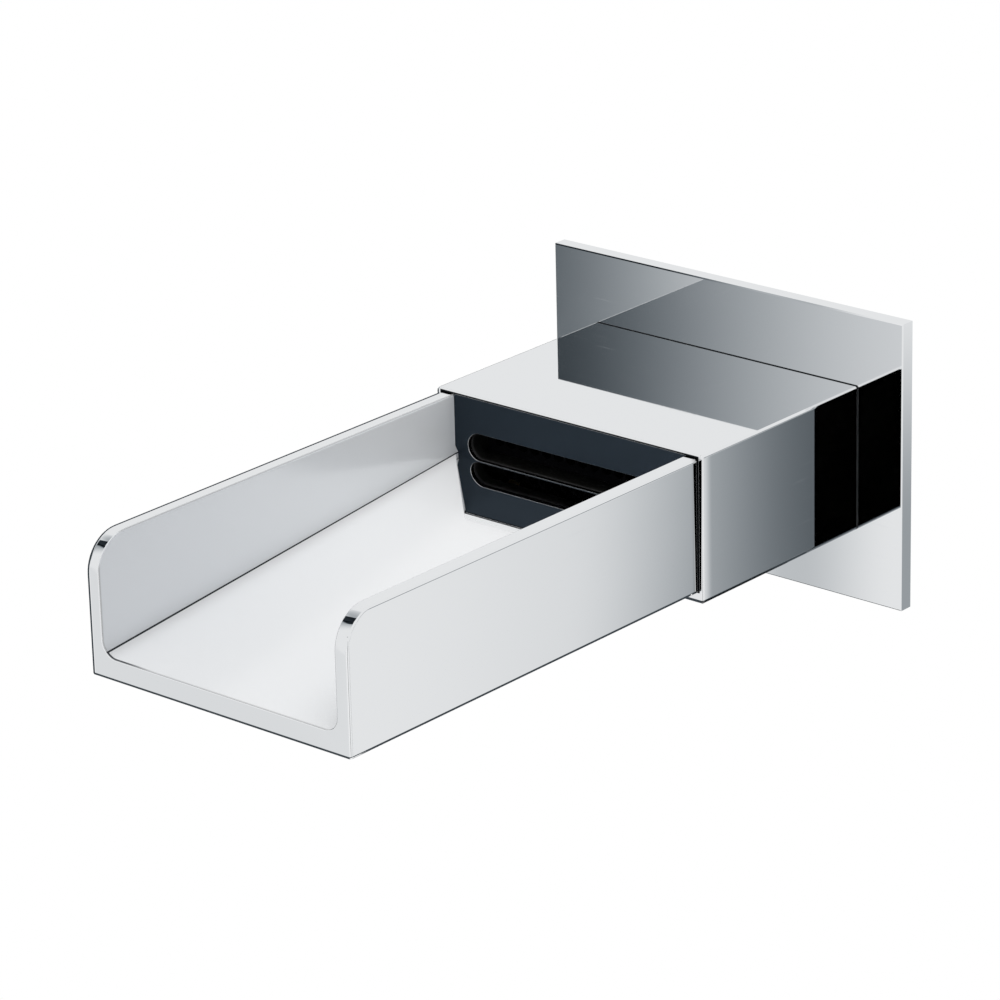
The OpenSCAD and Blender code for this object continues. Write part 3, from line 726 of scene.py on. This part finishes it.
# %% Softened copies
CHAMFERS_SHARP = math.radians(40)
CHAMFERS_ROUND = math.radians(50)
SHARP_EDGE = math.radians(30)
FLAT = math.radians(0.5)
MERGE = 1e-6
CLOSE = 0.1


def copy_of(node):
    """A bmesh of a CAD node with its loose triangles merged."""
    work = bmesh.new()
    work.from_mesh(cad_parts[node].data)
    bmesh.ops.remove_doubles(work, verts=work.verts, dist=MERGE)
    return work


def is_sharp(edge):
    return len(edge.link_faces) == 2 and edge.calc_face_angle() > SHARP_EDGE


def finished(node, material, cuts=(), limit=CHAMFERS_ROUND):
    """A copy with rounded edges. A cut is a width, its steps and a rule for an edge's middle and run."""
    work = copy_of(node)
    bmesh.ops.dissolve_limit(work, angle_limit=FLAT, verts=work.verts, edges=work.edges)
    for width, steps, rule in cuts:
        edges = []
        for edge in filter(is_sharp, work.edges):
            start, end = (vertex.co / MM for vertex in edge.verts)
            if rule((start + end) / 2, end - start):
                edges.append(edge)
        bmesh.ops.bevel(work, geom=edges, offset=width * MM, offset_type="OFFSET", segments=steps,
                        profile=0.5, affect="EDGES", clamp_overlap=True, material=-1)
        print(node, "edges rounded:", len(edges))
    stand_in(work, node + "_finished", limit, material, node)


def collar_upright(at, run):
    """The long upright edges of the collar's front."""
    outer = abs(at.x) > COLLAR_HIGH.x - CLOSE
    return outer and at.y < COLLAR_LOW.y + CLOSE and abs(run.z) > 20


def trough_outer(at, run):
    """The trough's outer edges in front of the collar."""
    bottom_front = at.y < TIP + CLOSE and at.z < TROUGH_LOW.z + 0.3
    return at.y < COLLAR_LOW.y and (abs(at.x) > TROUGH_HIGH.x - CLOSE or bottom_front)


def trough_inner(at, run):
    """The edges of the channel: along the top of its walls and round its front."""
    along_top = at.z > 8
    in_channel = abs(at.x) < WALL_INSIDE + CLOSE
    return at.y < COLLAR_LOW.y and in_channel and (along_top or at.y < TIP + CLOSE)


def slot_front(at, run):
    """The edges of the slotted plate's face, with the slot's own."""
    return at.y < SLOT_FACE + CLOSE


finished("wall_plate", plate_chrome, limit=CHAMFERS_SHARP)
finished("collar", collar_chrome, [(0.5, 4, collar_upright)], limit=CHAMFERS_SHARP)
finished("trough", trough_chrome, [(0.45, 4, trough_outer), (0.25, 2, trough_inner)])
finished("slot_plate", slot_chrome, [(0.15, 2, slot_front)])


# %% [markdown]
# ## Brass, steel, rubber and plastic
# The pieces behind the plate are seen only from the back or when the spout is taken apart, but each
# is made of something. One recipe serves them all: a pattern that varies colour, gloss and relief
# together, since on a real surface all three come from the same cause. What differs is the pattern:
# rings round the inlet for what was turned, cells for the foam, streaks for the fibre, and fine
# specks for steel, rubber and plastic.

# %% A recipe for plain materials
def pattern_of(wire, place, kind, scale):
    """A pattern from 0 to 1, of so many waves per metre."""
    if kind == "rings":
        flat = wire.node("VectorMath", {"operation": "MULTIPLY"}, {0: place, 1: (1, 0, 1)})
        radius = wire.node("VectorMath", {"operation": "LENGTH"}, {0: flat}, output="Value")
        length = wire.node("SeparateXYZ", sockets={"Vector": place}, output="Y")
        turned = wire.node("CombineXYZ", sockets={"X": radius, "Y": length})
        return noise(wire, turned, scale, detail=1.0)
    if kind == "cells":
        return wire.node("TexVoronoi", sockets={"Vector": place, "Scale": scale}) * 1.4
    if kind == "streaks":
        return noise(wire, place, scale, stretch=(0.12, 1, 0.3))
    return noise(wire, place, scale, detail=4.0)


def worn_patches(wire, place):
    """Wide soft patches, from 0 to 1, where hands and water have been."""
    return noise(wire, place, 90.0).rise(0.35, 0.7)


def recipe(name, kind, scale, light, dark, roughness, metallic=0.0, relief=0.00001, shine=0.5):
    """A material whose pattern varies its colour, its gloss and its relief."""
    made, wire = new_material(name)
    place, *_ = coordinates(wire)
    fine = pattern_of(wire, place, kind, scale)
    worn = worn_patches(wire, place)
    shaded(wire, {
        "Base Color": (fine.rise(0.3, 0.7) * 0.6 + worn * 0.4).mix((*light, 1), (*dark, 1)),
        "Metallic": metallic, "Roughness": roughness + worn * 0.1 + fine * 0.06,
        "Specular IOR Level": shine,
        "Normal": wire.node("Bump", sockets={"Strength": 0.6, "Distance": relief, "Height": fine})})
    return made


turned_brass = recipe("brass_turned", "rings", 3000.0, (0.82, 0.64, 0.35), (0.74, 0.55, 0.28), 0.2, 1.0)
print("recipe ready")


# %% [markdown]
# ## Cast brass
# The water box and its cover are castings: their grain is coarser than that of turned brass, and
# inside, where water stands, they have gone nearly black. That darkness is what the slot shows, so
# it is drawn by place, within the hollow of the box.

# %% Cast brass
CAST_LIGHT = (0.78, 0.59, 0.31, 1)
CAST_DARK = (0.62, 0.44, 0.21, 1)
TARNISH = (0.012, 0.012, 0.011, 1)
HOLLOW_HALF_WIDTH = 34
HOLLOW_HALF_HEIGHT = 8
HOLLOW_MIDDLE = 6
HOLLOW_REAR = -20


def cast_brass():
    """Brass that has gone dark inside the box, where the water stands."""
    made, wire = new_material("brass_cast")
    place, x, y, z = coordinates(wire)
    grains = noise(wire, place, 1100.0, detail=4.0)
    worn = worn_patches(wire, place)
    wide = wire.math("ABSOLUTE", x).rise(HOLLOW_HALF_WIDTH + 0.2, HOLLOW_HALF_WIDTH - 0.2)
    off_height = wire.math("ABSOLUTE", z - HOLLOW_MIDDLE)
    high = off_height.rise(HOLLOW_HALF_HEIGHT + 0.5, HOLLOW_HALF_HEIGHT)
    inside = wide * high * y.rise(HOLLOW_REAR, HOLLOW_REAR - 2)
    metal = (grains.rise(0.3, 0.7) * 0.5 + worn * 0.5).mix(CAST_LIGHT, CAST_DARK)
    shaded(wire, {
        "Base Color": inside.mix(metal, TARNISH), "Metallic": 1 - inside * 0.6,
        "Roughness": 0.36 + worn * 0.14,
        "Normal": wire.node("Bump", sockets={"Strength": 0.6, "Distance": 0.00005, "Height": grains})})
    return made


print("cast brass ready")


# %% [markdown]
# ## Who gets what
# The shapes of these pieces are right as they are packed, so only the material in their first slot
# changes. The plate under the trough is soldered into it and polished with it, so it takes the
# trough's own chrome.

# %% The other pieces
MATERIALS = [
    (turned_brass, ("stud_nuts",)),
    (cast_brass(), ("water_box", "box_cover")),
    (recipe("steel", "specks", 1500.0, (0.66, 0.66, 0.65), (0.55, 0.55, 0.54), 0.26, 1.0),
     ("cover_screws", "trough_screws", "plate_screws", "locking_screw", "inlet_strainer")),
    (recipe("rubber", "specks", 2500.0, (0.022, 0.022, 0.023), (0.035, 0.034, 0.034), 0.55),
     ("slot_seal", "cover_seal", "rear_seal_ring", "front_seal_ring", "restrictor_ring")),
    (recipe("dark_plastic", "specks", 2000.0, (0.004, 0.004, 0.005), (0.006, 0.006, 0.007), 0.7,
            shine=0.0),
     ("flow_straightener",)),
    (recipe("blue_plastic", "specks", 2000.0, (0.06, 0.16, 0.42), (0.05, 0.14, 0.37), 0.35),
     ("flow_restrictor",)),
    (recipe("fibre", "streaks", 1800.0, (0.38, 0.12, 0.065), (0.27, 0.08, 0.045), 0.6,
            relief=0.00003),
     ("stud_washers", "inlet_washer")),
    (recipe("foam", "cells", 1300.0, (0.045, 0.045, 0.05), (0.09, 0.09, 0.095), 0.85,
            relief=0.0002),
     ("wall_seal",)),
    (trough_chrome, ("trough_base",)),
]
for material, names in MATERIALS:
    for name in names:
        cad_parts[name].data.materials[0] = material
print("materials for the pieces behind the plate:", len(MATERIALS))


# %% [markdown]
# ## The pipe thread
# A solid for construction carries its thread as a plain cylinder, which is enough to fit it and far
# too smooth to look at. The next step cuts it away and extrudes its rim row by row instead. How far
# a point sinks below the outside depends only on how far it lies along the helix, so a few lines of
# arithmetic make the whole thread, with its run-out and its lead-in.

# %% The shape of the thread
PITCH = 25.4 / 14
THREAD_OUTER = 10.48
THREAD_DEPTH = 1.16
THREAD_END = box_mm("inlet_nipple")[1].y
LEAD_IN = 0.8
RUN_OUT = 1.6


def around_inlet(vertex):
    """The angle round the inlet's axis, as a right-handed thread turns."""
    return math.atan2(vertex.co.x, vertex.co.z)


def thread_radius(y, angle):
    """The radius at a height along the axis and an angle round it."""
    turns = y / PITCH - angle / (2 * math.pi)
    sunk = 0.5 - 0.5 * math.cos(2 * math.pi * turns)
    fade = min(1, y / RUN_OUT, (THREAD_END - y) / LEAD_IN)
    cone = THREAD_OUTER - max(0, y - THREAD_END + LEAD_IN)
    return min(THREAD_OUTER - THREAD_DEPTH * sunk * fade, cone)


print("thread from 0 to", THREAD_END, "mm, with", round(THREAD_END / PITCH, 1), "turns")


# %% [markdown]
# ## The nipple with its thread
# Each row is the one before it, extruded and moved to its place on the thread. The last row and the
# rim of the end face have different numbers of points, so bridging joins them, which needs no pairs.

# %% Threaded nipple
THREAD_ROWS = 150
THREAD_SMOOTH = math.radians(35)
OUTSIDE_BORE = 9


def on_thread(face):
    """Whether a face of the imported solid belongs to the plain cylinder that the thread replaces."""
    at = face.calc_center_median() / MM
    faces_out = math.hypot(face.normal.x, face.normal.z) > 0.5
    return 0.01 < at.y < THREAD_END - 0.01 and math.hypot(at.x, at.z) > OUTSIDE_BORE and faces_out


def rim_of(work):
    return [edge for edge in work.edges if edge.is_boundary]


def threaded_nipple():
    """The nipple with rows of thread between its flange and its end face."""
    work = copy_of("inlet_nipple")
    bmesh.ops.delete(work, geom=[face for face in work.faces if on_thread(face)], context="FACES")
    ring = [edge for edge in rim_of(work) if edge.verts[0].co.y < MM]
    points = len(ring)
    for row in range(1, THREAD_ROWS):
        y = THREAD_END * row / THREAD_ROWS
        grown = bmesh.ops.extrude_edge_only(work, edges=ring)["geom"]
        for vertex in (part for part in grown if isinstance(part, bmesh.types.BMVert)):
            angle = around_inlet(vertex)
            radius = thread_radius(y, angle)
            vertex.co = Vector((math.sin(angle) * radius, y, math.cos(angle) * radius)) * MM
        ring = [part for part in grown if isinstance(part, bmesh.types.BMEdge) and part.is_boundary]
    bmesh.ops.bridge_loops(work, edges=rim_of(work))
    print("points round the thread:", points, "open edges:", len(rim_of(work)))
    bmesh.ops.recalc_face_normals(work, faces=work.faces)
    stand_in(work, "inlet_nipple_threaded", THREAD_SMOOTH, turned_brass, "inlet_nipple")


threaded_nipple()


# %% [markdown]
# ## The end
# The last cell only prints that the script has run to its end.

# %% Last line
print("script ran to its end")
